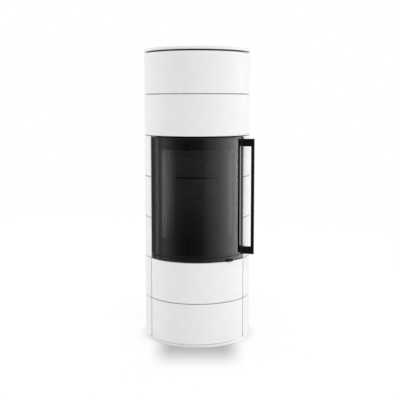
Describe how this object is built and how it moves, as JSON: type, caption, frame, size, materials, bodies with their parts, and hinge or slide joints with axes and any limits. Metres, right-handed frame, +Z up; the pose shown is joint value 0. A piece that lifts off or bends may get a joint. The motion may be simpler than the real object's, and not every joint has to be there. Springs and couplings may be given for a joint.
{
  "type": "tiled stove",
  "caption": "Tall round wood stove clad in white glazed tiles, with a curved black glass door, a long bar handle, an air lever and a top flue outlet.",
  "frame": {"origin": "on the floor at the stove's vertical axis", "axes": "+Z up, the door faces -Y, the handle is at +X"},
  "size_m": [0.5142, 0.5, 1.364],
  "materials": {
    "white_glaze": "gloss",
    "white_enamel": "satin",
    "clip_steel": "satin",
    "fibre_pad": "matt",
    "body_steel": "matt",
    "panel_steel": "fine texture",
    "stove_anthracite": "matt heat-resistant paint",
    "silver_paint": "satin heat-resistant paint",
    "zinc_steel": "zinc plated",
    "ash_pan_steel": "galvanised",
    "vermiculite": "matt pressed board, fire blackened",
    "firebrick": "matt",
    "cast_iron": "as cast",
    "storage_stone": "sawn",
    "printed_glass": "polished, black print at the edges",
    "rope_fibre": "braided",
    "black_handle": "matt black"
  },
  "bodies": {
    "root": {"air_duct": "ash_pan_steel", "air_inlet_spigot": "zinc_steel", "ash_pan": "ash_pan_steel", "ash_recess": "body_steel", "baffle_plate": "vermiculite", "base_plate": "body_steel", "body_lid": "body_steel", "body_shell": "body_steel", "door_sill": "stove_anthracite", "door_surround": "silver_paint", "fire_grate": "cast_iron", "firebox_ceiling": "body_steel", "firebox_floor": "body_steel", "floor_bricks": "firebrick", "flue_collar": "body_steel", "hinge_pins": "zinc_steel", "joint_clips": "clip_steel", "joint_pads": "fibre_pad", "latch_catches": "zinc_steel", "levelling_feet": "zinc_steel", "log_retainer": "cast_iron", "panel_screws": "zinc_steel", "plinth_ring": "white_enamel", "rear_board_lower": "vermiculite", "rear_board_upper": "vermiculite", "rear_panel": "panel_steel", "side_board_left": "vermiculite", "side_board_right": "vermiculite", "storage_rings": "storage_stone", "tile_course_1_front": "white_glaze", "tile_course_1_left": "white_glaze", "tile_course_1_right": "white_glaze", "tile_course_2_front": "white_glaze", "tile_course_2_left": "white_glaze", "tile_course_2_right": "white_glaze", "tile_course_3_left": "white_glaze", "tile_course_3_right": "white_glaze", "tile_course_4_left": "white_glaze", "tile_course_4_right": "white_glaze", "tile_course_5_left": "white_glaze", "tile_course_5_right": "white_glaze", "tile_course_6_front": "white_glaze", "tile_course_6_left": "white_glaze", "tile_course_6_right": "white_glaze", "tile_course_7_front": "white_glaze", "tile_course_7_left": "white_glaze", "tile_course_7_right": "white_glaze", "tile_posts": "body_steel", "top_plate": "white_glaze", "top_plate_spacers": "body_steel"},
    "door": {"door_frame": "stove_anthracite", "door_glass": "printed_glass", "glass_rails": "stove_anthracite", "glass_tape": "rope_fibre", "door_rope": "rope_fibre"},
    "handle": {"latch_rod": "zinc_steel", "handle_loop": "black_handle"},
    "air_lever": {"air_valve_ring": "zinc_steel", "lever_knob": "black_handle"}
  },
  "joints": [
    {"name": "door_hinge", "type": "hinge", "parent": "root", "child": "door", "pos_m": [-0.20281, -0.13294, 0.687], "axis": [0, 0, -1], "range_deg": [0, 105]},
    {"name": "handle_turn", "type": "hinge", "parent": "door", "child": "handle", "pos_m": [0.20005, -0.12893, 0.687], "axis": [0, 0, -1], "range_deg": [0, 25]},
    {"name": "air_lever", "type": "hinge", "parent": "root", "child": "air_lever", "pos_m": [0, 0, 0.3947], "axis": [0, 0, -1], "range_deg": [0, 40]}
  ]
}
